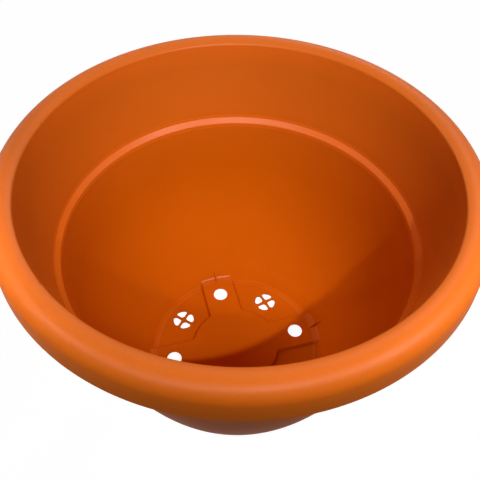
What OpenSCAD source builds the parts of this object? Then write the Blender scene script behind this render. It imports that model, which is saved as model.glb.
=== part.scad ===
// Round plastic flower pot with a rolled rim, a bellied wall and a raised drainage cross.
// The origin is on the ground at the pot's axis, +Z up, with the arms of the cross along X and Y.

/* [Pot] */
// Overall height, ground to the top of the rolled rim
pot_h = 225; // [205:1:245]
// Outer diameter at the lower edge of the rim's skirt
rim_d = 305; // [285:1:325]
// Outer diameter of the base on the ground
base_d = 151; // [140:1:162]
// Thickness of the moulded wall
wall = 2.1; // [1.6:0.1:2.8]

/* [Rim] */
// Outer radius of the roll, seen in section
roll_r = 9.5; // [8:0.5:11]
// How far the roll turns inward past its top, in degrees
lip_turn = 42; // [30:1:52]
// Height of the rim, from the top of the roll to the skirt's lower edge
rim_h = 23.3; // [19:0.1:28]
// Outward lean of the skirt, in degrees
skirt_lean = 4.1; // [2:0.1:7]

/* [Collar and ledge] */
// How far the collar narrows from the lip down to the ledge
collar_narrows = 11.4; // [8:0.1:15]
// Depth of the ledge's upper edge below the top of the rim
ledge_depth = 62.2; // [52:0.1:72]
// How far the ledge steps in
ledge_in = 3.1; // [2:0.1:5]
// Height of the ledge's slope
ledge_drop = 4.3; // [3:0.1:6]

/* [Belly and base] */
// Radius of the wall's long outward curve
belly_r = 334; // [300:1:420]
// Height of the crease where the wall runs into the base ring
ring_h = 19; // [16:0.5:26]
// Extra thickness of the base ring, which shows as a fine step inside
ring_step = 0.4; // [0.2:0.1:0.8]
// Radius of the outer corner on the ground
corner_r = 2.4; // [1.2:0.1:3.5]

/* [Floor] */
// Thickness of the floor
floor_t = 2.1; // [1.6:0.1:2.8]
// Height of the raised cross above the floor of the feet
cross_rise = 4; // [3:0.1:6]
// How far the raised disc at the centre lies in from the edge of the base
disc_in = 37.5; // [33:0.5:42]
// Width of each arm of the cross
arm_w = 30; // [24:1:34]

/* [Drainage] */
// How far the circle of the drain openings lies in from the edge of the base
drain_in = 19.3; // [17.5:0.1:22]
// Diameter of the round hole in each arm
hole_d = 13.1; // [9:0.1:16]
// Diameter of the round opening in each foot
grate_d = 18.7; // [14:0.1:21]
// Width of the bars across that opening
bar_w = 2.2; // [1.2:0.1:3]
// Diameter of the boss where the bars cross
boss_d = 4; // [3:0.1:5]

/* [Gussets] */
// Thickness of each gusset
gusset_t = 1.4; // [1:0.1:2.2]
// Height of each gusset above the arm
gusset_h = 9; // [6:0.5:12]
// How far each gusset reaches over the arm from the wall
gusset_reach = 7.8; // [5:0.1:9]

/* [Hidden] */

// Turn of the bars in each foot: every insert was fitted at its own angle
bar_turns = [14, 46, 14, 46];
// One colour, in lighter and darker tones so that neighbours can be told apart
rim_tone = "#de7336";
wall_tone = "#cf662c";
band_tone = "#e5813f";
floor_tone = "#c45c25";
bar_tone = "#b5521f";
overrun = 5;
arc_steps = 6;
curve_steps = 30;
$fn = 180;

// The roll's centre, worked out from the skirt's edge
roll_z = pot_h - roll_r;
skirt_z = pot_h - rim_h;
skirt_len = (roll_z + roll_r * sin(skirt_lean) - skirt_z) / cos(skirt_lean);
roll_x = rim_d / 2 - skirt_len * sin(skirt_lean) - roll_r * cos(skirt_lean);

// The lip, where the roll meets the collar
lip_x = roll_x - roll_r * sin(lip_turn);
lip_z = roll_z + roll_r * cos(lip_turn);
lip_under_x = roll_x - (roll_r - wall) * sin(lip_turn);
lip_under_z = roll_z + (roll_r - wall) * cos(lip_turn);

// The ledge
ledge_top_z = pot_h - ledge_depth;
ledge_low_z = ledge_top_z - ledge_drop;
ledge_x = lip_x - collar_narrows;
collar_lean = atan2(collar_narrows, lip_z - ledge_top_z);
collar_across = wall / cos(collar_lean);

// The belly: one arc from the ground to the foot of the ledge, with its centre beyond the axis
base_x = base_d / 2;
neck_x = ledge_x - ledge_in + wall;
chord = norm([neck_x - base_x, ledge_low_z]);
sagitta_leg = sqrt(pow(belly_r, 2) - pow(chord / 2, 2));
belly_x = (base_x + neck_x) / 2 - ledge_low_z / chord * sagitta_leg;
belly_z = ledge_low_z / 2 + (neck_x - base_x) / chord * sagitta_leg;
function belly_at(z, inset) = belly_x + sqrt(pow(belly_r - inset, 2) - pow(z - belly_z, 2));

// The base ring: a straight cone under the belly
ring_x = belly_at(ring_h, 0);
ring_lean = atan2(ring_x - base_x, ring_h);
ring_across = (wall + ring_step) / cos(ring_lean);
function cone_out(z) = base_x + z * tan(ring_lean);
function cone_in(z) = cone_out(z) - ring_across;

// Heights and places on the floor
arm_z = floor_t + cross_rise;
disc_r = base_x - disc_in;
drain_x = base_x - drain_in;
gusset_x = cone_in(arm_z) - gusset_reach;
gusset_z = arm_z + gusset_h;
reach = rim_d;

function arc(x, z, r, from, to, steps) =
    [for (i = [0 : steps]) let (a = from + (to - from) * i / steps) [x + r * cos(a), z + r * sin(a)]];
function belly_line(inset, from, to, steps) =
    [for (i = [0 : steps]) let (z = from + (to - from) * i / steps) [belly_at(z, inset), z]];

// The outline of everything inside the outer cone, from the ground up to a height
corner_side = corner_r * tan((90 - ring_lean) / 2);
module inside_cone(top) {
    rotate_extrude()
        polygon(concat([[0, 0]],
            arc(base_x - corner_side, corner_r, corner_r, -90, -ring_lean, arc_steps),
            [[cone_out(top), top], [0, top]]));
}

module cross_outline(inset) {
    circle(disc_r - inset);
    for (turn = [0, 90])
        rotate(turn) square([reach, arm_w - 2 * inset], center = true);
}

// Top of the rim: the roll from the lip over to the skirt
module rim_roll() {
    color(rim_tone) rotate_extrude() translate([roll_x, roll_z]) intersection() {
        difference() {
            circle(roll_r);
            circle(roll_r - wall);
        }
        polygon([[0, 0],
            [-2 * roll_r * sin(lip_turn), 2 * roll_r * cos(lip_turn)],
            [-2 * roll_r * sin(lip_turn), 2 * roll_r],
            [2 * roll_r, 2 * roll_r],
            [2 * roll_r * cos(skirt_lean), 2 * roll_r * sin(skirt_lean)]]);
    }
}

// Skirt that hangs from the roll, with a rounded lower edge
module rim_skirt() {
    down = [sin(skirt_lean), -cos(skirt_lean)];
    across = [cos(skirt_lean), sin(skirt_lean)];
    centre = [roll_x, roll_z];
    straight = skirt_len - wall / 2;
    middle = centre + across * (roll_r - wall / 2) + down * straight;
    color(rim_tone) rotate_extrude()
        polygon(concat([centre + across * roll_r],
            [centre + across * (roll_r - wall)],
            arc(middle[0], middle[1], wall / 2, 180 + skirt_lean, 360 + skirt_lean, 2 * arc_steps)));
}

// Tapered collar from the lip down to the ledge
module collar() {
    color(wall_tone) rotate_extrude()
        polygon([[ledge_x, ledge_top_z], [lip_x, lip_z], [lip_under_x, lip_under_z],
            [ledge_x + collar_across + (lip_under_z - ledge_top_z) * tan(collar_lean), lip_under_z],
            [ledge_x + collar_across, ledge_top_z]]);
}

// Sloping ledge on which a pot pushed into this one would stop
module stacking_ledge() {
    color(band_tone) rotate_extrude()
        polygon([[belly_at(ledge_low_z, wall), ledge_low_z], [belly_at(ledge_low_z, 0), ledge_low_z],
            [ledge_x + collar_across, ledge_top_z], [ledge_x, ledge_top_z]]);
}

// Bellied wall between the ledge and the crease
module body_wall() {
    color(wall_tone) rotate_extrude()
        polygon(concat(belly_line(0, ring_h, ledge_low_z, curve_steps),
            belly_line(wall, ledge_low_z, ring_h, curve_steps)));
}

// Straight cone at the base, cut away where the arms run out through it
module base_ring() {
    color(floor_tone) difference() {
        rotate_extrude()
            polygon([[cone_in(floor_t), floor_t], [cone_out(floor_t), floor_t],
                [cone_out(ring_h), ring_h], [cone_in(ring_h), ring_h]]);
        linear_extrude(2 * arm_z, center = true) cross_outline(0);
    }
}

// Raised disc and four arms with their side walls, open below as a channel that lets the water out
module floor_cross() {
    color(band_tone) difference() {
        intersection() {
            linear_extrude(arm_z) cross_outline(0);
            inside_cone(arm_z);
        }
        linear_extrude(2 * cross_rise, center = true) cross_outline(wall);
        for (turn = [0 : 90 : 270])
            rotate(turn) translate([drain_x, 0, 0]) cylinder(h = arm_z + overrun, d = hole_d);
    }
}

// One of four sunken feet between the arms, with its round opening
module foot(i) {
    color(floor_tone) rotate(90 * (i - 1)) difference() {
        intersection() {
            inside_cone(floor_t);
            translate([arm_w / 2, arm_w / 2, 0]) cube([reach, reach, floor_t]);
        }
        translate([0, 0, -overrun]) cylinder(h = floor_t + 2 * overrun, r = disc_r);
        rotate(45) translate([drain_x, 0, -overrun]) cylinder(h = floor_t + 2 * overrun, d = grate_d);
    }
}

// Crossed bars that part the opening into four petals
module drain_bars(i) {
    color(bar_tone) rotate(90 * (i - 1) + 45) translate([drain_x, 0, 0]) intersection() {
        cylinder(h = floor_t, d = grate_d);
        union() {
            cylinder(h = floor_t, d = boss_d);
            for (turn = [0, 90])
                rotate(bar_turns[i - 1] - 45 + turn) translate([0, 0, floor_t / 2])
                    cube([grate_d, bar_w, floor_t], center = true);
        }
    }
}

// Thin three-cornered rib that props the wall on the middle of an arm
module gusset(i) {
    color(bar_tone) rotate(90 * (i - 1)) intersection() {
        rotate([90, 0, 0]) linear_extrude(gusset_t, center = true)
            polygon([[gusset_x, arm_z], [cone_in(gusset_z), arm_z], [cone_in(gusset_z), gusset_z]]);
        translate([0, 0, arm_z]) cylinder(h = gusset_h, r1 = cone_in(arm_z), r2 = cone_in(gusset_z));
    }
}

rim_roll();
rim_skirt();
collar();
stacking_ledge();
body_wall();
base_ring();
floor_cross();
foot(1);  // foot_1
foot(2);  // foot_2
foot(3);  // foot_3
foot(4);  // foot_4
drain_bars(1);  // drain_bars_1
drain_bars(2);  // drain_bars_2
drain_bars(3);  // drain_bars_3
drain_bars(4);  // drain_bars_4
gusset(1);  // gusset_1
gusset(2);  // gusset_2
gusset(3);  // gusset_3
gusset(4);  // gusset_4
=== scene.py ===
"""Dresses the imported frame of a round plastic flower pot: one smooth shaded piece for each node of the moulding,
a matt terracotta polypropylene, plain soft light and the camera of the photograph."""

import math

import bmesh
import bpy
from bpy.props import FloatProperty, FloatVectorProperty, IntProperty, PointerProperty
from mathutils import Matrix, Vector


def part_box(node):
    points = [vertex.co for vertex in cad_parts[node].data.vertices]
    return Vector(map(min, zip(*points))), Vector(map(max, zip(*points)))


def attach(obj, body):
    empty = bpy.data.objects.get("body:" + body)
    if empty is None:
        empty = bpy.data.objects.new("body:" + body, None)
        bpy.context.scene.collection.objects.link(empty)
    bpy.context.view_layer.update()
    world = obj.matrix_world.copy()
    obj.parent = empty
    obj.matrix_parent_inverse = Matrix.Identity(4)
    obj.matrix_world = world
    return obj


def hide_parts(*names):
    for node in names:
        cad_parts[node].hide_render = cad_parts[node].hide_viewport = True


bl_info = {
    "name": "Plastic flower pot",
    "version": (1, 0, 0),
    "blender": (4, 5, 0),
    "location": "3D View > Sidebar > Flower pot",
    "description": "Models the rim, wall, base, drainage cross and drain bars of a moulded flower pot",
    "category": "Object",
}

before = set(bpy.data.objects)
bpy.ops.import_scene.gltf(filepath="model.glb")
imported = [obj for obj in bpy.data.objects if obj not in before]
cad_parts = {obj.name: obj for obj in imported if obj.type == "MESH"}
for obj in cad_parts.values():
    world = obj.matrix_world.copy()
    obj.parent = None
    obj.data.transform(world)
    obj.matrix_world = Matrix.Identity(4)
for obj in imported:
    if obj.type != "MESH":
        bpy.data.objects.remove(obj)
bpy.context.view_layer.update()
MM = 0.001
BODY = "root"
QUARTERS = (0, 90, 180, 270)

# Where the pieces part, in millimetres: on straight runs, on which the shading of both sides agrees
SKIRT_PART = 1.0            # skirt from roll, down from the roll's centre
LIP_PART = 2.6              # collar from roll, below the lip
LEDGE_PART_HIGH = 2.4       # ledge from collar, above the ledge
LEDGE_PART_LOW = 3.0        # wall from ledge, below the ledge
WALL_PART = 1.2             # base ring from wall, above the crease

# Small forms and steps of the mesh, in millimetres and degrees
LIP_BLEND = 4.5             # degrees before the lip at which its rounding leaves the roll
OUTSIDE_ROUNDING = 1.4      # of both corners of the ledge's outside
CREASE_SOFT = (8.0, 1.0)    # how far below and above the crease its inside is blended
CHANNEL_CORNER = 0.8        # between the sides and the ceiling of the channels under the arms
BAR_TURNS = (14, 46, 14, 46)    # how far each foot's bars are turned
BELOW = 1.0                 # how far a cutting tool reaches below the ground
MERGE = 0.0008              # vertices closer than this are one
CREASE_ANGLE = 32.0         # edges that turn by more than this stay sharp


def hex_to_linear(text):
    """An sRGB hex colour as linear RGB with full alpha."""
    values = [int(text[i:i + 2], 16) / 255 for i in (1, 3, 5)]
    return tuple(v / 12.92 if v <= 0.04045 else ((v + 0.055) / 1.055) ** 2.4 for v in values) + (1.0,)


def mm_box(node):
    """Lowest and highest corner of a node, in millimetres."""
    low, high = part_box(node)
    return [value / MM for value in low], [value / MM for value in high]


# ------------------------------------------------------------------ sizes and colours a user would change

def size(name, description, millimetres):
    """A length in metres whose default is given in millimetres."""
    return FloatProperty(name=name, description=description, default=millimetres * MM, min=0.0,
                         subtype="DISTANCE", unit="LENGTH")


def turn(name, description, degrees):
    """An angle whose default is given in degrees."""
    return FloatProperty(name=name, description=description, default=math.radians(degrees),
                         subtype="ANGLE", unit="ROTATION")


def share(name, description, value):
    """A number from 0 to 1."""
    return FloatProperty(name=name, description=description, default=value, min=0.0, max=1.0)


def tint(name, description, text):
    """A colour whose default is given as sRGB hex."""
    return FloatVectorProperty(name=name, description=description, default=hex_to_linear(text)[:3],
                               subtype="COLOR", size=3, min=0.0, max=1.0)


class FlowerPotWallSizes(bpy.types.PropertyGroup):
    """Section of the wall and rim"""

    pot_height: size("Pot height", "Ground to the top of the roll", mm_box("rim_roll")[1][2])
    rim_radius: size("Rim radius", "At the skirt's lower edge", 152.5)
    wall: size("Wall", "Thickness of the moulded wall", 2.1)
    roll_radius: size("Roll radius", "Outside of the rolled rim, in section", 9.5)
    roll_inner: size("Roll inner radius", "Of the roll's flatter inner half", 12.0)
    lip_turn: turn("Lip turn", "How far the roll turns inward before it drops into the collar", 42)
    skirt_lean: turn("Skirt lean", "Outward lean of the skirt", 4.1)
    skirt_low: size("Skirt edge", "Height of the skirt's lower edge", mm_box("rim_skirt")[0][2])
    collar_narrows: size("Collar narrows", "From the lip down to the ledge", 11.4)
    ledge_top: size("Ledge top", "Height of the ledge's upper edge", mm_box("stacking_ledge")[1][2])
    ledge_low: size("Ledge foot", "Height of the ledge's lower edge", mm_box("stacking_ledge")[0][2])
    ledge_in: size("Ledge step", "How far the ledge steps in", 3.1)
    ledge_slope: turn("Ledge slope", "Slope of the ledge between its two roundings", 52)
    ledge_hollow: size("Ledge hollow", "Hollow rounding under the collar", 0.9)
    ledge_shoulder: size("Ledge shoulder", "Rounding over the wall", 1.0)
    belly_radius: size("Belly radius", "The wall's long outward curve", 334)
    base_radius: size("Base radius", "Outside, on the ground", 75.5)
    crease: size("Crease height", "Where the wall meets the base ring", mm_box("body_wall")[0][2])
    ring_step: size("Ring step", "Extra thickness of the base ring", 0.4)
    corner: size("Ground corner", "Outer rounding on the ground", 2.4)
    turns: IntProperty(name="Steps round", description="Faces round each revolved piece", default=240,
                       min=48, max=360)


class FlowerPotFloorSizes(bpy.types.PropertyGroup):
    """Drainage cross, feet, openings and gussets"""

    floor: size("Floor", "Thickness of the floor of the feet", mm_box("foot_1")[1][2])
    arm_top: size("Arm top", "Height of the raised cross", mm_box("floor_cross")[1][2])
    disc_radius: size("Disc radius", "Raised disc at the centre", 38)
    arm_half: size("Arm half width", "Half the width of an arm", 15)
    inner_turn: size("Inner rounding", "Where an arm leaves the disc", 2.7)
    plate_radius: size("Foot plate radius", "Where the plate meets the base ring", 69.5)
    drain_ring: size("Drain circle radius", "On which all openings lie", 56.2)
    hole_radius: size("Hole radius", "Round hole in each arm", 6.4)
    petal_radius: size("Petal radius", "Outside of the four petals", 9.3)
    petal_inner: size("Petal heart", "Rounding of a petal's corner at the crossing", 2.3)
    petal_outer: size("Petal corner", "Rounding of a petal's two outer corners", 1.9)
    bar_half: size("Bar half width", "Half the width of a bar", 1.2)
    insert_radius: size("Insert radius", "Round insert that holds the bars", 10.8)
    edge: size("Edge rounding", "Rounding of the edges of openings", 0.35)
    hole_draft: size("Hole draft", "How much wider a round hole is at its lower edge", 1.3)
    petal_draft: size("Petal draft", "How much wider a petal is at its lower edge", 0.35)
    top_edge: size("Arm edge rounding", "Rounding along the arms", 1.1)
    foot_cove: size("Arm foot cove", "Hollow rounding where an arm meets a foot", 1.8)
    flank_draft: size("Flank draft", "Lean of an arm's side between the two roundings", 0.4)
    wall_cove: size("Floor cove", "Hollow rounding where the floor meets the wall", 2.0)
    gusset: size("Gusset", "Thickness of a gusset", 1.4)
    gusset_height: size("Gusset height", "Above the arm", 9)
    gusset_reach: size("Gusset reach", "Over the arm from the wall", 7.8)


class FlowerPotFinish(bpy.types.PropertyGroup):
    """Look of the moulded plastic"""

    plastic: tint("Plastic", "Terracotta pigment of wall and floor, as linear colour", "#cc6006")
    # Collar and rim tones are paler than the wall's pigment: a painted highlight for the light that collar, rim and
    # ledge catch
    collar_plastic: tint("Plastic at the collar", "Its tone above the ledge, as linear colour", "#da6a12")
    rim_plastic: tint("Plastic at the rim", "Its palest tone, on roll and ledge, as linear colour", "#e66d14")
    roughness: share("Roughness", "Of the spark-eroded surface", 0.46)
    rubbed: share("Rubbed sheen", "Specular level of the ledge, rubbed by stacking", 0.48)
    matt: share("Matt sheen", "Specular level of everything else", 0.01)
    skin: share("Satin skin", "Coat of smoother plastic on rim and collar", 0.52)
    cove_skin: share("Cove skin", "Coat of smoother plastic in the floor's cove", 0.9)
    skin_ends: size("Skin thins from", "Radius on the roll from which its satin skin thins out", 147.5)
    skin_gone: size("Skin is gone", "Radius on the roll at which the skirt's matt surface is reached", 151.8)
    grain: size("Grain", "Spacing of the moulded grain, as drawn", 0.55)


class Millimetres:
    """Reads a property group as the section's sums are written: lengths in millimetres and angles in degrees."""

    def __init__(self, group):
        for key in group.__annotations__:
            value = getattr(group, key)
            kind = group.bl_rna.properties[key].subtype
            if kind == "DISTANCE":
                value /= MM
            elif kind == "ANGLE":
                value = math.degrees(value)
            setattr(self, key, value)


# ------------------------------------------------------------------ small tools

def sin(degrees):
    return math.sin(math.radians(degrees))


def cos(degrees):
    return math.cos(math.radians(degrees))


def tan(degrees):
    return math.tan(math.radians(degrees))


def arc(x, y, radius, start, end, step=4.0):
    """Points on an arc, both ends included."""
    steps = max(1, math.ceil(abs(end - start) / step))
    angles = [start + (end - start) * i / steps for i in range(steps + 1)]
    return [(x + radius * cos(angle), y + radius * sin(angle)) for angle in angles]


def round_corner(before, corner, after, radius, step=5.0):
    """The points that take the place of a corner between two straight runs."""
    c = Vector(corner)
    a = (Vector(before) - c).normalized()
    b = (Vector(after) - c).normalized()
    half = a.angle(b) / 2
    along = radius / math.tan(half)
    centre = c + (a + b).normalized() * (radius / math.sin(half))
    start = c + a * along - centre
    end = c + b * along - centre
    first = math.degrees(math.atan2(start.y, start.x))
    swept = (math.degrees(math.atan2(end.y, end.x)) - first + 180) % 360 - 180
    return arc(centre.x, centre.y, radius, first, first + swept, step)


def level(points, z):
    """Flat points set at a height."""
    return [(x, y, z) for x, y in points]


def moved(points, x, y):
    """Flat points moved sideways."""
    return [(px + x, py + y) for px, py in points]


def turned(points, degrees):
    """Flat points turned round the pot's axis."""
    c, s = cos(degrees), sin(degrees)
    return [(x * c - y * s, x * s + y * c) for x, y in points]


# ------------------------------------------------------------------ meshes

def loop(bm, points):
    """A closed ring of edges through points in millimetres."""
    verts = [bm.verts.new(p) for p in points]
    edges = [bm.edges.new((verts[i], verts[(i + 1) % len(verts)])) for i in range(len(verts))]
    return verts, edges


def next_ring(bm, edges, old, points):
    """Extrudes a ring of edges and moves each new vertex to its own point; old gives the ring's vertices in order."""
    made = bmesh.ops.extrude_edge_only(bm, edges=edges)["geom"]
    fresh = {v for v in made if isinstance(v, bmesh.types.BMVert)}
    partner = {}
    for v in fresh:
        for e in v.link_edges:
            other = e.other_vert(v)
            if other not in fresh:
                partner[other] = v
    verts = [partner[v] for v in old]
    for v, p in zip(verts, points):
        v.co = p
    new_edges = [e for e in made if isinstance(e, bmesh.types.BMEdge) and e.verts[0] in fresh and e.verts[1] in fresh]
    return verts, new_edges


def loft(bm, rings):
    """Joins closed rings of points into one skin and returns its first and last edges."""
    verts, first = loop(bm, rings[0])
    edges = first
    for points in rings[1:]:
        verts, edges = next_ring(bm, edges, verts, points)
    return first, edges


def flat_fill(bm, edges):
    """Fills one flat face with holes between closed rings of edges."""
    bmesh.ops.triangle_fill(bm, use_beauty=True, use_dissolve=False, edges=edges)


def shade_smooth(bm, sharp):
    """Shades all faces smooth and marks the edges sharp that turn by more than so many degrees."""
    for face in bm.faces:
        face.smooth = True
    for edge in bm.edges:
        edge.smooth = not (len(edge.link_faces) == 2 and edge.calc_face_angle(0.0) > math.radians(sharp))


def even_shading(piece):
    """Gives large flat faces the say over the roundings beside them, so that they shade flat."""
    shade = piece.modifiers.new("even shading", "WEIGHTED_NORMAL")
    shade.keep_sharp = True
    shade.weight = 80


def mesh_in_metres(name, bm):
    """Turns a bmesh drawn in millimetres into a mesh."""
    bmesh.ops.scale(bm, vec=(MM, MM, MM), verts=bm.verts)
    mesh = bpy.data.meshes.new(name)
    bm.to_mesh(mesh)
    bm.free()
    return mesh


def finish_mesh(node, bm, sharp=CREASE_ANGLE, weighted=True, sheen="matt"):
    """Closes a bmesh, shades it smooth, parents it to the body and hides the node's part, for which it stands."""
    bmesh.ops.remove_doubles(bm, verts=bm.verts, dist=MERGE)
    bmesh.ops.recalc_face_normals(bm, faces=bm.faces)
    shade_smooth(bm, sharp)
    name = node + "_skin"
    piece = bpy.data.objects.new(name, mesh_in_metres(name, bm))
    bpy.context.scene.collection.objects.link(piece)
    if weighted:
        even_shading(piece)
    piece.data.materials.append(moulded_polypropylene(sheen))
    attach(piece, BODY)
    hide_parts(node)
    return piece


def revolved(node, section, turns, sheen="matt"):
    """A closed section in (radius, height) spun once round the pot's axis."""
    bm = bmesh.new()
    verts, edges = loop(bm, [(x, 0, z) for x, z in section])
    bmesh.ops.spin(bm, geom=verts + edges, cent=(0, 0, 0), axis=(0, 0, 1), dvec=(0, 0, 0), angle=math.tau,
                   steps=turns, use_merge=True, use_duplicate=False)
    return finish_mesh(node, bm, weighted=False, sheen=sheen)


def cut_away(piece, cutters):
    """Cuts closed tools out of a piece, then keeps the result as its plain mesh with its creases marked."""
    for cutter in cutters:
        bpy.context.scene.collection.objects.link(cutter)
        cut = piece.modifiers.new("cut", "BOOLEAN")
        cut.operation, cut.solver, cut.object = "DIFFERENCE", "EXACT", cutter
    graph = bpy.context.evaluated_depsgraph_get()
    bm = bmesh.new()
    bm.from_object(piece, graph)
    piece.modifiers.clear()
    for cutter in cutters:
        mesh = cutter.data
        bpy.data.objects.remove(cutter)
        bpy.data.meshes.remove(mesh)
    bmesh.ops.remove_doubles(bm, verts=bm.verts, dist=MERGE * MM)
    shade_smooth(bm, CREASE_ANGLE)
    bm.to_mesh(piece.data)
    bm.free()
    even_shading(piece)


# ------------------------------------------------------------------ material

def add_node(tree, kind, links=(), **settings):
    """Adds a node. links is a list of (input, output socket or plain value), and a setting that the node doesn't
    have is the value of the input of that name."""
    node = tree.nodes.new(kind)
    for key, value in settings.items():
        if hasattr(node, key):
            setattr(node, key, value)
        else:
            node.inputs[key.replace("_", " ")].default_value = value
    for socket, source in links:
        if isinstance(source, bpy.types.NodeSocket):
            tree.links.new(source, node.inputs[socket])
        else:
            node.inputs[socket].default_value = source
    return node


def empty_tree(owner):
    """The emptied node tree of a material or world."""
    owner.use_nodes = True
    owner.node_tree.nodes.clear()
    return owner.node_tree


def moulded_polypropylene(sheen):
    """Injection-moulded polypropylene coloured through: the spark-eroded mould leaves a fine matt grain, which breaks
    the lamp's reflection into a broad soft sheen, and the melt's flow shows as faint changes of tone and gloss. Rim
    and collar come from the smoother part of the mould and carry a satin skin, which thins out down the outside of the
    roll. The cove round the floor carries it too, the ledge is rubbed smooth where pots are stacked, and wall, floor
    and skirt are matt. Towards the rim the colour is painted a little paler, and the ledge takes the rim's palest tone:
    a painted highlight for the light that rim, collar and ledge catch."""
    name = sheen + "_terracotta_polypropylene"
    if name in bpy.data.materials:
        return bpy.data.materials[name]
    finish = bpy.context.scene.flower_pot_finish
    polypropylene_ior = 1.49
    rubbed = sheen == "rubbed"
    roughness = finish.roughness - (0.12 if rubbed else 0.0)
    gloss_change = 0.03
    material = bpy.data.materials.new(name)
    tree = empty_tree(material)
    place = add_node(tree, "ShaderNodeTexCoord").outputs["Object"]
    # Flow clouds about 60 mm across, and specks of colour masterbatch, drawn coarser, at about a millimetre, to show
    clouds = add_node(tree, "ShaderNodeTexNoise", [("Vector", place)], Scale=16.0, Detail=3.0, Roughness=0.55)
    specks = add_node(tree, "ShaderNodeTexNoise", [("Vector", place)], Scale=900.0, Detail=2.0, Roughness=0.6)
    both = add_node(tree, "ShaderNodeMath", [(0, clouds.outputs["Fac"]), (1, specks.outputs["Fac"])], operation="ADD")
    spread = add_node(tree, "ShaderNodeMapRange", [("Value", both.outputs[0])],
                      From_Min=0.7, From_Max=1.3, To_Min=0.0, To_Max=1.0)
    flow = add_node(tree, "ShaderNodeValToRGB", [("Fac", spread.outputs[0])])
    deep, pale = flow.color_ramp.elements
    deep.color = (0.93, 0.92, 0.92, 1.0)
    pale.color = (1.0, 1.0, 1.0, 1.0)
    # The ledge takes the rim's pale tone and the rest a tone that pales upward: a painted highlight for the light the
    # upper pot catches
    pigment = (*finish.rim_plastic, 1.0) if rubbed else pigment_with_painted_highlight(tree, place, finish)
    tone = add_node(tree, "ShaderNodeMixRGB", [("Color1", pigment), ("Color2", flow.outputs["Color"])],
                    blend_type="MULTIPLY", Fac=1.0)
    # Gloss follows the flow: a little more sheen where the melt lay longer on the mould
    gloss = add_node(tree, "ShaderNodeMapRange", [("Value", clouds.outputs["Fac"])], From_Min=0.3, From_Max=0.7,
                     To_Min=roughness - gloss_change, To_Max=roughness + gloss_change)
    # Waviness of the cooled wall, about 35 mm from crest to crest, under the grain of the mould. Real grain lies about
    # 0.2 mm apart, too fine to show, so it is drawn coarser, at the spacing that the panel gives.
    waves = add_node(tree, "ShaderNodeTexNoise", [("Vector", place)], Scale=28.0, Detail=1.0)
    wavy = add_node(tree, "ShaderNodeBump", [("Height", waves.outputs["Fac"])], Strength=0.10, Distance=0.0006)
    grain = add_node(tree, "ShaderNodeTexNoise", [("Vector", place)], Scale=1.0 / finish.grain, Detail=2.0,
                     Roughness=0.7)
    bump = add_node(tree, "ShaderNodeBump", [("Height", grain.outputs["Fac"]), ("Normal", wavy.outputs["Normal"])],
                    Strength=0.16, Distance=0.00006)
    shader = add_node(tree, "ShaderNodeBsdfPrincipled",
                      [("Base Color", tone.outputs["Color"]), ("Roughness", gloss.outputs[0]),
                       ("Normal", bump.outputs["Normal"])],
                      IOR=polypropylene_ior, Specular_IOR_Level=finish.rubbed if rubbed else finish.matt)
    # Radius at which the smoother skin is full, radius at which it has thinned out, and its weight
    skins = {"satin": (finish.skin_ends, finish.skin_gone, finish.skin),
             "ring_cove": (0.071, 0.0725, finish.cove_skin),
             "arm_cove": (0.0715, 0.0695, finish.cove_skin)}
    if sheen in skins:
        full, gone, weight = skins[sheen]
        flat = add_node(tree, "ShaderNodeVectorMath", [(0, place), (1, (1.0, 1.0, 0.0))], operation="MULTIPLY")
        radius = add_node(tree, "ShaderNodeVectorMath", [(0, flat.outputs[0])], operation="LENGTH")
        skin = add_node(tree, "ShaderNodeMapRange", [("Value", radius.outputs["Value"])],
                        From_Min=full, From_Max=gone, To_Min=weight, To_Max=0.0)
        tree.links.new(skin.outputs[0], shader.inputs["Coat Weight"])
        tree.links.new(bump.outputs["Normal"], shader.inputs["Coat Normal"])
        shader.inputs["Coat Roughness"].default_value = roughness
        shader.inputs["Coat IOR"].default_value = polypropylene_ior
    add_node(tree, "ShaderNodeOutputMaterial", [("Surface", shader.outputs["BSDF"])])
    return material


def pigment_with_painted_highlight(tree, place, finish):
    """The plastic's tone, which pales in steps from the ledge through the collar to the rim: a painted highlight for
    the light that the upper pot catches. The ramp's positions are shares of the pot's height."""
    upward = add_node(tree, "ShaderNodeSeparateXYZ", [("Vector", place)])
    pot_height = bpy.context.scene.flower_pot_wall.pot_height
    height = add_node(tree, "ShaderNodeMath", [(0, upward.outputs["Z"]), (1, pot_height)], operation="DIVIDE")
    pigment = add_node(tree, "ShaderNodeValToRGB", [("Fac", height.outputs[0])])
    stops = pigment.color_ramp.elements
    # The collar and rim stops are paler: a painted highlight for the light that collar and rim catch
    stops[0].position, stops[0].color = 0.53, (*finish.plastic, 1.0)
    stops[1].position, stops[1].color = 0.76, (*finish.collar_plastic, 1.0)
    for position, plastic in ((0.92, finish.collar_plastic), (0.97, finish.rim_plastic)):
        stops.new(position).color = (*plastic, 1.0)
    return pigment.outputs[0]


# ------------------------------------------------------------------ the wall's lines, in millimetres

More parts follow.
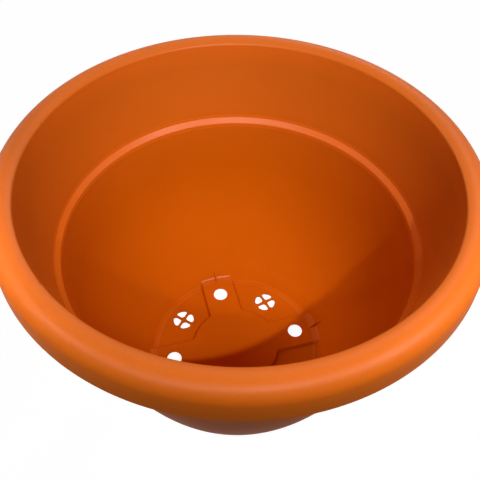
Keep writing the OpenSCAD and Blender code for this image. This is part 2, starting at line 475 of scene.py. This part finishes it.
class Section:
    """Places on the wall's section, worked out from the sizes once."""

    def __init__(self, s):
        self.s = s
        self.roll_z = s.pot_height - s.roll_radius
        length = (self.roll_z + s.roll_radius * sin(s.skirt_lean) - s.skirt_low) / cos(s.skirt_lean)
        self.roll_x = s.rim_radius - length * sin(s.skirt_lean) - s.roll_radius * cos(s.skirt_lean)
        self.skirt_length = length
        self.ledge_x = self.roll_x - s.roll_radius * sin(s.lip_turn) - s.collar_narrows
        drop = s.roll_radius * (1 - cos(s.lip_turn))
        self.lip_end = math.degrees(math.acos(1 - drop / s.roll_inner))
        self.lip = (self.roll_x - s.roll_inner * sin(self.lip_end), s.pot_height - drop)
        self.collar_slope = (self.lip[0] - self.ledge_x) / (self.lip[1] - s.ledge_top)
        self.collar_across = s.wall * math.hypot(1, self.collar_slope)
        neck = self.ledge_x - s.ledge_in + s.wall
        chord = math.hypot(neck - s.base_radius, s.ledge_low)
        leg = math.sqrt(s.belly_radius ** 2 - (chord / 2) ** 2)
        self.belly_x = (s.base_radius + neck) / 2 - s.ledge_low / chord * leg
        self.belly_z = s.ledge_low / 2 + (neck - s.base_radius) / chord * leg
        self.ring_slope = (self.belly(s.crease, 0) - s.base_radius) / s.crease
        self.ring_across = (s.wall + s.ring_step) * math.hypot(1, self.ring_slope)
        self.ring_lean = math.degrees(math.atan(self.ring_slope))

    def belly(self, z, inset):
        """Radius of the bellied wall at a height, outside or inset towards its centre."""
        return self.belly_x + math.sqrt((self.s.belly_radius - inset) ** 2 - (z - self.belly_z) ** 2)

    def collar(self, z, out=0.0):
        """Radius of the collar at a height, inside or further out."""
        return self.ledge_x + (z - self.s.ledge_top) * self.collar_slope + out

    def cone(self, z, inset=0.0):
        """Radius of the base ring at a height, outside or inset."""
        return self.s.base_radius + z * self.ring_slope - inset

    def arm_end(self, z):
        """Radius at which the arms end, in the middle of the base ring's wall."""
        return self.cone(z, self.ring_across / 2)

    def past_ring(self, z):
        """A radius well outside the base ring, for tools that cut right through it."""
        return self.cone(z) + 20

    def cove_start(self, radius, z):
        """Where a hollow rounding of that radius between the base ring and a floor at z leaves the floor."""
        return self.cone(z, self.ring_across) - radius * tan((90 - self.ring_lean) / 2)


def sizes():
    """Wall sizes, floor sizes and the section they give, in millimetres and degrees."""
    scene = bpy.context.scene
    s = Millimetres(scene.flower_pot_wall)
    return s, Millimetres(scene.flower_pot_floor), Section(s)


# ------------------------------------------------------------------ operators

class POT_OT_rim(bpy.types.Operator):
    """Rolls the rim over from the lip and hangs its skirt with a rounded lower edge"""

    bl_idname = "flower_pot.rim"
    bl_label = "Rolled rim and skirt"

    def execute(self, context):
        s, _, w = sizes()
        inner = s.roll_radius - s.wall
        down = (sin(s.skirt_lean), -cos(s.skirt_lean))
        across = (cos(s.skirt_lean), sin(s.skirt_lean))

        def skirt(out, along):
            return (w.roll_x + across[0] * out + down[0] * along, w.roll_z + across[1] * out + down[1] * along)

        cut = w.lip[1] - LIP_PART
        clearance = 0.3             # between the roll's hollow and the collar's outside
        outer = arc(w.roll_x, w.roll_z, s.roll_radius, s.skirt_lean, 90, 2.5)
        outer += arc(w.roll_x, s.pot_height - s.roll_inner, s.roll_inner, 90, 90 + w.lip_end - LIP_BLEND, 2.5)[1:-1]
        inside = [p for p in arc(w.roll_x, w.roll_z, inner, 90 + s.lip_turn, s.skirt_lean, 4.0)
                  if p[0] > w.collar(p[1], w.collar_across) + clearance]
        section = [skirt(s.roll_radius, SKIRT_PART)] + outer + blend_lip(w, s, cut)
        section += [(w.collar(cut), cut), (w.collar(cut, w.collar_across), cut)] + inside + [skirt(inner, SKIRT_PART)]
        revolved("rim_roll", section, s.turns, sheen="satin")
        middle = skirt(s.roll_radius - s.wall / 2, w.skirt_length - s.wall / 2)
        edge = arc(*middle, s.wall / 2, 180 + s.skirt_lean, 360 + s.skirt_lean, 15)
        section = [skirt(s.roll_radius, SKIRT_PART), skirt(inner, SKIRT_PART)] + edge
        revolved("rim_skirt", section, s.turns)
        return {"FINISHED"}


def blend_lip(w, s, cut):
    """The rounding that leaves the roll some degrees before the lip and turns down into the collar."""
    leave = w.lip_end - LIP_BLEND
    from_roll = (w.roll_x - s.roll_inner * sin(leave), s.pot_height - s.roll_inner * (1 - cos(leave)))
    # The roll's tangent at that place meets the collar's line in the corner
    run = (from_roll[0] - w.collar(from_roll[1])) / (cos(leave) - sin(leave) * w.collar_slope)
    corner = (from_roll[0] - cos(leave) * run, from_roll[1] - sin(leave) * run)
    turn_by = 90 - math.degrees(math.atan(w.collar_slope)) - leave
    return round_corner(from_roll, corner, (w.collar(cut), cut), run / tan(turn_by / 2), 3.0)


class POT_OT_wall(bpy.types.Operator):
    """Draws the tapered collar, the stacking ledge with its rounded corners and the bellied wall"""

    bl_idname = "flower_pot.wall"
    bl_label = "Collar, ledge and wall"

    def execute(self, context):
        s, _, w = sizes()
        top, high, low = w.lip[1] - LIP_PART, s.ledge_top + LEDGE_PART_HIGH, s.ledge_low - LEDGE_PART_LOW
        over = (w.collar(high, w.collar_across), high)
        section = [(w.collar(high), high), (w.collar(top), top), (w.collar(top, w.collar_across), top), over]
        revolved("collar", section, s.turns, sheen="satin")

        upper = (w.collar(s.ledge_top, w.collar_across), s.ledge_top)
        lower = (w.belly(s.ledge_low, 0), s.ledge_low)
        under = (w.belly(low, 0), low)
        outer = round_corner(over, upper, lower, OUTSIDE_ROUNDING) + round_corner(upper, lower, under, OUTSIDE_ROUNDING)
        section = [(w.collar(high), high)] + ledge_line(w, s) + [(w.belly(low, s.wall), low), under]
        revolved("stacking_ledge", section + outer[::-1] + [over], s.turns, sheen="rubbed")

        foot, steps = s.crease + WALL_PART, 44
        heights = [foot + (low - foot) * i / steps for i in range(steps + 1)]
        section = [(w.belly(z, 0), z) for z in heights] + [(w.belly(z, s.wall), z) for z in reversed(heights)]
        revolved("body_wall", section, s.turns)
        return {"FINISHED"}


def ledge_line(w, s):
    """The ledge seen from inside: a hollow rounding out of the collar, a short slope, and a shoulder into the wall.
    The slope's length is corrected until the shoulder ends on the wall."""
    middle = (s.ledge_top + s.ledge_low) / 2
    down = 270 - math.degrees(math.atan(w.collar_slope))
    slope = 180 + s.ledge_slope
    into = 270 - math.degrees(math.asin((w.belly_z - s.ledge_low) / (s.belly_radius - s.wall)))
    bends = s.ledge_hollow * (sin(down + 90) - sin(slope + 90)) - s.ledge_shoulder * (sin(into - 90) - sin(slope - 90))
    straight = 1.5
    for _ in range(12):
        start_z = middle + (bends - straight * sin(slope)) / 2
        hollow_x = w.collar(start_z) + s.ledge_hollow * cos(down - 90)
        hollow_z = start_z + s.ledge_hollow * sin(down - 90)
        hollow = arc(hollow_x, hollow_z, s.ledge_hollow, down + 90, slope + 90, 6.0)
        turn_x, turn_z = hollow[-1][0] + straight * cos(slope), hollow[-1][1] + straight * sin(slope)
        shoulder = arc(turn_x + s.ledge_shoulder * cos(slope + 90), turn_z + s.ledge_shoulder * sin(slope + 90),
                       s.ledge_shoulder, slope - 90, into - 90, 6.0)
        end_x, end_z = shoulder[-1]
        straight += (end_x - w.belly(end_z, s.wall)) / -cos(slope)
    return hollow + shoulder


class POT_OT_base(bpy.types.Operator):
    """Turns the base ring with its crease, cove and ground corner, and notches it where the arms' channels run out"""

    bl_idname = "flower_pot.base"
    bl_label = "Base ring"

    def execute(self, context):
        s, f, w = sizes()
        foot = s.crease + WALL_PART
        cove = arc(w.cove_start(f.wall_cove, f.floor), f.floor + f.wall_cove, f.wall_cove, -90, -w.ring_lean, 5.0)
        corner_side = s.corner * tan((90 - w.ring_lean) / 2)
        corner = arc(s.base_radius - corner_side, s.corner, s.corner, -90, -w.ring_lean, 6.0)
        low, high, parts = s.crease - CREASE_SOFT[0], s.crease + CREASE_SOFT[1], 10
        inside_step = []
        for i in range(parts + 1):
            z = low + (high - low) * i / parts
            wall_share = (1 - cos(180 * i / parts)) / 2
            inside_step.append((wall_share * w.belly(z, s.wall) + (1 - wall_share) * w.cone(z, w.ring_across), z))
        section = [(f.plate_radius, 0), (f.plate_radius, f.floor)] + cove + inside_step
        section += [(w.belly(foot, s.wall), foot), (w.belly(foot, 0), foot), (w.belly(s.crease, 0), s.crease)]
        piece = revolved("base_ring", section + corner[::-1], s.turns, sheen="ring_cove")
        core = [(0.0, -BELOW), (0.0, 0.0), (0.0, f.arm_top - f.top_edge)]
        cut_away(piece, [cross_prism(f, core, w.arm_end), cross_prism(f, channel_rings(s, f), w.past_ring)])
        return {"FINISHED"}


def between_arms(half, disc, rounding):
    """A quarter of the cross, from one arm's side round the disc to the next arm's side."""
    centre_x = math.sqrt((disc + rounding) ** 2 - (half + rounding) ** 2)
    meets = math.degrees(math.atan2(half + rounding, centre_x))
    corner = arc(centre_x, half + rounding, rounding, -90, -180 + meets, (90 - meets) / 5)
    round_disc = arc(0, 0, disc, meets, 90 - meets, (90 - 2 * meets) / 8)[1:-1]
    return corner + round_disc + [(y, x) for x, y in reversed(corner)]


def cross_outline(f, out, end, steps=10):
    """The cross seen from above, grown outward by out, with its arms ending on a circle of radius end."""
    half = f.arm_half + out
    end_angle = math.degrees(math.asin(half / end))
    line = arc(0, 0, end, -end_angle, end_angle, 2 * end_angle / steps)
    line += between_arms(half, f.disc_radius + out, f.inner_turn - out)
    return [point for quarter in QUARTERS for point in turned(line, quarter)]


def channel_rings(s, f):
    """The channel under the arms, from below the ground up to its ceiling with rounded corners."""
    ceiling = f.arm_top - f.floor
    low, round_off = ceiling - CHANNEL_CORNER, 0.3 * CHANNEL_CORNER
    return [(-s.wall, -BELOW), (-s.wall, 0.0), (-s.wall, low), (-s.wall - round_off, ceiling - round_off),
            (-s.wall - CHANNEL_CORNER, ceiling)]


def cross_prism(f, rings, end_at):
    """A closed prism of the cross through rings of (growth, height), used to cut room."""
    bm = bmesh.new()
    first, last = loft(bm, [level(cross_outline(f, out, end_at(max(z, 0.0))), z) for out, z in rings])
    flat_fill(bm, first)
    flat_fill(bm, last)
    bmesh.ops.recalc_face_normals(bm, faces=bm.faces)
    return bpy.data.objects.new("cutter", mesh_in_metres("cutter", bm))


def opening_rings(outline, low, high, edge, draft):
    """Rings down an opening: its upper rim rounded, its side drafted wider towards a rounded lower rim."""
    quarter = (0, 30, 60, 90)
    rings = [level(outline(edge * (1 - sin(a))), high - edge * (1 - cos(a))) for a in quarter]
    rings += [level(outline(draft + edge * (1 - cos(a))), low + edge * (1 - sin(a))) for a in quarter]
    return rings


class POT_OT_cross(bpy.types.Operator):
    """Raises the disc and its four arms, with rounded edges, coved feet and ends, round holes and an open underside"""

    bl_idname = "flower_pot.cross"
    bl_label = "Drainage cross"

    def execute(self, context):
        s, f, w = sizes()
        top, plate = f.arm_top, f.floor
        bm = bmesh.new()
        # Rounded upper edge, hollow foot that runs level into the foot's floor, and the side below that floor
        rings = [(-f.top_edge * (1 - cos(a)), top - f.top_edge * (1 - sin(a))) for a in (90, 72, 54, 36, 18, 0)]
        rings += [(f.flank_draft + f.foot_cove * (1 - cos(a)), plate + f.foot_cove * (1 - sin(a)))
                  for a in (0, 18, 36, 54, 72, 85)]
        rings += [(f.flank_draft + f.foot_cove, plate - 0.1), (0.0, plate - 0.15), (0.0, 0.0)]
        first, last = loft(bm, [level(cross_outline(f, out, w.arm_end(z)), z) for out, z in rings])
        holes_top, holes_low = [], []
        for quarter in QUARTERS:
            x, y = f.drain_ring * cos(quarter), f.drain_ring * sin(quarter)

            def hole(grow, x=x, y=y):
                return arc(x, y, f.hole_radius + grow, 0, 360, 7.5)[:-1]

            sides = opening_rings(hole, top - plate, top, f.edge, f.hole_draft)
            upper, lower = loft(bm, sides + [level(hole(f.hole_draft + f.edge), 0.0)])
            holes_top += upper
            holes_low += lower
        flat_fill(bm, first + holes_top)
        flat_fill(bm, last + holes_low)
        self.raise_ends(bm, f, w)
        piece = finish_mesh("floor_cross", bm, weighted=False, sheen="arm_cove")
        cut_away(piece, [cross_prism(f, channel_rings(s, f), w.past_ring)])
        return {"FINISHED"}

    def raise_ends(self, bm, f, w):
        """Cuts rings across the arms' ends and lifts them into the cove that rises to the wall."""
        top, plate = f.arm_top, f.floor
        begin = w.cove_start(f.wall_cove, top)
        radius_end = begin + f.wall_cove * cos(w.ring_lean)
        first_cut, spacing, count = begin - 1.6, 0.45, 14
        for axis in ((1, 0, 0), (-1, 0, 0), (0, 1, 0), (0, -1, 0)):
            for i in range(count):
                bmesh.ops.bisect_plane(bm, geom=bm.verts[:] + bm.edges[:] + bm.faces[:], dist=1e-5,
                                       plane_co=Vector(axis) * (first_cut + spacing * i), plane_no=axis)
        for v in bm.verts:
            radius = math.hypot(v.co.x, v.co.y)
            if v.co.z > plate + 0.01 and radius > begin:
                reach = min(radius, radius_end) - begin
                rise = f.wall_cove - math.sqrt(f.wall_cove ** 2 - reach ** 2)
                v.co.z += rise * (v.co.z - plate) / (top - plate) if v.co.z < top - 0.01 else rise


class POT_OT_feet(bpy.types.Operator):
    """Lays the four sunken floors between the arms, each with its round seat for the drain insert"""

    bl_idname = "flower_pot.feet"
    bl_label = "Feet"

    def execute(self, context):
        s, f, _ = sizes()
        end = f.plate_radius
        last = math.degrees(math.asin(f.arm_half / end))
        step = 360 / s.turns
        rim = [90 - last] + [a * step for a in range(s.turns) if last < a * step < 90 - last][::-1] + [last]
        outline = between_arms(f.arm_half, f.disc_radius, f.inner_turn) + [(end * cos(a), end * sin(a)) for a in rim]
        seat = arc(f.drain_ring * cos(45), f.drain_ring * sin(45), f.insert_radius, 0, 360, 5)[:-1]
        for number, quarter in enumerate(QUARTERS, 1):
            bm = bmesh.new()
            upper, lower = loft(bm, [level(turned(outline, quarter), z) for z in (f.floor, 0.0)])
            seat_upper, seat_lower = loft(bm, [level(turned(seat, quarter), z) for z in (f.floor, 0.0)])
            flat_fill(bm, upper + seat_upper)
            flat_fill(bm, lower + seat_lower)
            finish_mesh(f"foot_{number}", bm)
        return {"FINISHED"}


def petal(f, grow):
    """One of four rounded openings between two bars, in the first quarter, grown outward by grow."""
    heart, corner = f.petal_inner, f.petal_outer
    side = f.bar_half + corner
    far = math.sqrt((f.petal_radius - corner) ** 2 - side ** 2)
    angle = math.degrees(math.atan2(side, far))
    points = arc(f.bar_half + heart, f.bar_half + heart, heart + grow, 180, 270, 15)
    points += arc(far, side, corner + grow, -90, angle, (90 + angle) / 8)
    points += arc(0, 0, f.petal_radius + grow, angle, 90 - angle, (90 - 2 * angle) / 8)[1:-1]
    points += arc(side, far, corner + grow, 90 - angle, 180, (90 + angle) / 8)
    return points


class POT_OT_drain_bars(bpy.types.Operator):
    """Fits each foot's round insert, whose crossed bars leave four petals; every insert sits at its own turn"""

    bl_idname = "flower_pot.drain_bars"
    bl_label = "Drain bars"

    def execute(self, context):
        _, f, _ = sizes()
        for number, (quarter, bar_turn) in enumerate(zip(QUARTERS, BAR_TURNS), 1):
            bm = bmesh.new()
            x, y = f.drain_ring * cos(quarter + 45), f.drain_ring * sin(quarter + 45)
            rim = moved(turned(arc(0, 0, f.insert_radius, 0, 360, 5)[:-1], quarter), x, y)
            upper, lower = loft(bm, [level(rim, z) for z in (f.floor, 0.0)])
            for side in QUARTERS:
                def opening(grow, side=side):
                    return moved(turned(petal(f, grow), side + quarter + bar_turn), x, y)

                high, low = loft(bm, opening_rings(opening, 0.0, f.floor, f.edge, f.petal_draft))
                upper += high
                lower += low
            flat_fill(bm, upper)
            flat_fill(bm, lower)
            finish_mesh(f"drain_bars_{number}", bm)
        return {"FINISHED"}


class POT_OT_gussets(bpy.types.Operator):
    """Stands a thin three-cornered rib with rounded edges between each arm and the wall"""

    bl_idname = "flower_pot.gussets"
    bl_label = "Gussets"

    def execute(self, context):
        _, f, w = sizes()
        half = f.gusset / 2
        low = f.arm_top
        high = low + f.gusset_height
        toe = w.cone(low, w.ring_across) - f.gusset_reach
        sunk, rounding = 0.8, 0.3   # into the arm and the wall, and of every edge
        outline = [(toe - 0.2, low - sunk), (toe, low + 0.1), (w.cone(high, w.ring_across), high),
                   (w.cone(high, w.ring_across) + sunk, high - 0.2), (w.cone(low, w.ring_across) + sunk, low - sunk)]
        for number, quarter in enumerate(QUARTERS, 1):
            bm = bmesh.new()
            _, edges = loop(bm, [(x, -half, z) for x, z in outline])
            face = bmesh.ops.contextual_create(bm, geom=edges)["faces"]
            made = bmesh.ops.extrude_face_region(bm, geom=face)["geom"]
            bmesh.ops.translate(bm, vec=(0, 2 * half, 0), verts=[v for v in made if isinstance(v, bmesh.types.BMVert)])
            bmesh.ops.bevel(bm, geom=bm.edges[:], offset=rounding, affect="EDGES", segments=3, profile=0.5,
                            material=-1)
            turn_round = Matrix.Rotation(math.radians(quarter), 3, "Z")
            bmesh.ops.rotate(bm, verts=bm.verts, cent=(0, 0, 0), matrix=turn_round)
            finish_mesh(f"gusset_{number}", bm, sharp=60)
        return {"FINISHED"}


class POT_OT_stage(bpy.types.Operator):
    """Sets the plain floor, the soft lamps and the camera"""

    bl_idname = "flower_pot.stage"
    bl_label = "Stage, light and camera"

    def execute(self, context):
        scene = context.scene
        scene.view_settings.view_transform = "Standard"
        self.lay_floor(scene)
        self.light_world(scene)
        self.hang_lamps()
        self.aim_camera(scene)
        return {"FINISHED"}

    def lay_floor(self, scene):
        """White paper: it takes the object's shadow, and the rays that show the background see it nearly white."""
        bm = bmesh.new()
        bmesh.ops.create_grid(bm, x_segments=1, y_segments=1, size=3.0)
        mesh = bpy.data.meshes.new("studio_floor")
        bm.to_mesh(mesh)
        bm.free()
        floor = bpy.data.objects.new("studio_floor", mesh)
        floor.location.z = -0.0002      # just under the feet, so that the two faces don't fight
        scene.collection.objects.link(floor)
        material = bpy.data.materials.new("white_paper")
        tree = empty_tree(material)
        seen = self.seen_by(tree)
        paper = add_node(tree, "ShaderNodeBsdfDiffuse", Color=hex_to_linear("#8a8a8a"))
        glow = add_node(tree, "ShaderNodeEmission", Color=(1, 1, 1, 1), Strength=0.92)
        lit = add_node(tree, "ShaderNodeAddShader", [(0, paper.outputs[0]), (1, glow.outputs[0])])
        mix = add_node(tree, "ShaderNodeMixShader", [("Fac", seen), (1, paper.outputs[0]), (2, lit.outputs[0])])
        add_node(tree, "ShaderNodeOutputMaterial", [("Surface", mix.outputs[0])])
        floor.data.materials.append(material)

    def light_world(self, scene):
        """A dim even light from all round, which the rays that show the background see as white."""
        world = bpy.data.worlds.new("studio")
        scene.world = world
        tree = empty_tree(world)
        seen = self.seen_by(tree)
        dim = add_node(tree, "ShaderNodeBackground", Color=(1, 1, 1, 1), Strength=0.085)
        white = add_node(tree, "ShaderNodeBackground", Color=(1, 1, 1, 1), Strength=1.0)
        mix = add_node(tree, "ShaderNodeMixShader", [("Fac", seen), (1, dim.outputs[0]), (2, white.outputs[0])])
        add_node(tree, "ShaderNodeOutputWorld", [("Surface", mix.outputs[0])])

    def hang_lamps(self):
        """Spots from the front, whose pools fill the mouth and end at the near roll: the key draws the shadow's edge
        on the floor, the others reach the far wall and ledge. A weak light from the front, low broad lights from
        behind and small discs lift the rims."""
        self.spot("key", (5, 55.5), aim=(0.010, 0.010, 0.222), pool=0.15, blend=0.2, size=0.02, power=57)
        self.spot("front_left", (-18, 49), aim=(0.003, 0.03, 0.222), pool=0.15, blend=0.2, size=0.06, power=38)
        self.spot("front_low", (0, 17), aim=(0.0, 0.14, 0.195), pool=0.05, blend=0.5, size=0.06, power=9)
        self.sun("front", (0, 58), width=3, power=0.22)
        self.sun("back_right", (150, 35), width=20, power=0.5)
        self.sun("back_left", (-150, 35), width=20, power=0.25)
        self.disc("near_right", (0.20, -0.24, 0.42), aim=(0.095, -0.115, 0.22), size=0.12, spread=60, power=0.078)
        self.disc("near_left", (-0.212, -0.212, 0.42), aim=(-0.1, -0.1, 0.22), size=0.12, spread=60, power=0.023)
        self.disc("left", (-0.3, -0.05, 0.42), aim=(-0.145, -0.03, 0.22), size=0.12, spread=30, power=0.038)

    def aim_camera(self, scene):
        """The camera fitted to the photograph."""
        camera = bpy.data.cameras.new("camera")
        camera.lens = 42.887
        camera.sensor_width = 36.0
        camera.shift_x = 0.010117
        camera.shift_y = 0.006265
        camera.clip_start = 0.01
        eye = bpy.data.objects.new("camera", camera)
        eye.location = (-0.072224, -0.248113, 0.460995)
        eye.rotation_euler = [math.radians(a) for a in (39.6243, -0.6199, -15.0167)]
        scene.collection.objects.link(eye)
        scene.camera = eye

    def seen_by(self, tree):
        """1 for the rays that show the background: the camera's, and those mirrored or let through."""
        path = add_node(tree, "ShaderNodeLightPath").outputs
        mirrored = add_node(tree, "ShaderNodeMath", [(0, path["Is Camera Ray"]), (1, path["Is Glossy Ray"])],
                            operation="MAXIMUM")
        return add_node(tree, "ShaderNodeMath", [(0, mirrored.outputs[0]), (1, path["Is Transmission Ray"])],
                        operation="MAXIMUM").outputs[0]

    def towards(self, angles):
        """Direction to a lamp: degrees turned from the front to the right, and degrees above the ground."""
        round_by, height = angles
        return Vector((sin(round_by) * cos(height), -cos(round_by) * cos(height), sin(height)))

    def place(self, name, data, position, direction):
        """Hangs a lamp that shines against a direction and isn't seen itself."""
        lamp = bpy.data.objects.new(name, data)
        lamp.location = position
        lamp.rotation_euler = direction.to_track_quat("Z", "Y").to_euler()
        lamp.visible_camera = False
        bpy.context.scene.collection.objects.link(lamp)

    def spot(self, name, angles, aim, pool, blend, size, power):
        """A spot 1.8 m from its aim that lights a pool of that radius round it."""
        away = 1.8
        data = bpy.data.lights.new(name, "SPOT")
        data.energy, data.shadow_soft_size = power, size
        data.spot_size, data.spot_blend = 2 * math.atan(pool / away), blend
        direction = self.towards(angles)
        self.place(name, data, Vector(aim) + direction * away, direction)

    def sun(self, name, angles, width, power):
        """A broad parallel light, as wide as so many degrees of the sky."""
        data = bpy.data.lights.new(name, "SUN")
        data.energy, data.angle = power, math.radians(width)
        direction = self.towards(angles)
        self.place(name, data, direction, direction)

    def disc(self, name, position, aim, size, spread, power):
        """A small round lamp near the rim, kept to a cone of so many degrees."""
        data = bpy.data.lights.new(name, "AREA")
        data.shape, data.size, data.energy, data.spread = "DISK", size, power, math.radians(spread)
        self.place(name, data, position, Vector(position) - Vector(aim))


class POT_PT_panel(bpy.types.Panel):
    """Lists the pieces of the flower pot"""

    bl_idname = "POT_PT_panel"
    bl_label = "Flower pot"
    bl_space_type = "VIEW_3D"
    bl_region_type = "UI"
    bl_category = "Flower pot"

    def draw(self, context):
        scene = context.scene
        for step in STEPS:
            self.layout.operator(step.bl_idname)
        for group in (scene.flower_pot_wall, scene.flower_pot_floor, scene.flower_pot_finish):
            for key in group.__annotations__:
                self.layout.prop(group, key)


STEPS = (POT_OT_stage, POT_OT_rim, POT_OT_wall, POT_OT_base, POT_OT_cross, POT_OT_feet, POT_OT_drain_bars,
         POT_OT_gussets)
GROUPS = (FlowerPotWallSizes, FlowerPotFloorSizes, FlowerPotFinish)


def register():
    for cls in GROUPS + STEPS + (POT_PT_panel,):
        bpy.utils.register_class(cls)
    bpy.types.Scene.flower_pot_wall = PointerProperty(type=FlowerPotWallSizes)
    bpy.types.Scene.flower_pot_floor = PointerProperty(type=FlowerPotFloorSizes)
    bpy.types.Scene.flower_pot_finish = PointerProperty(type=FlowerPotFinish)


def unregister():
    for key in ("flower_pot_wall", "flower_pot_floor", "flower_pot_finish"):
        delattr(bpy.types.Scene, key)
    for cls in reversed(GROUPS + STEPS + (POT_PT_panel,)):
        bpy.utils.unregister_class(cls)


def main():
    register()
    for step in STEPS:
        group, name = step.bl_idname.split(".")
        getattr(getattr(bpy.ops, group), name)()


if __name__ == "__main__":
    main()
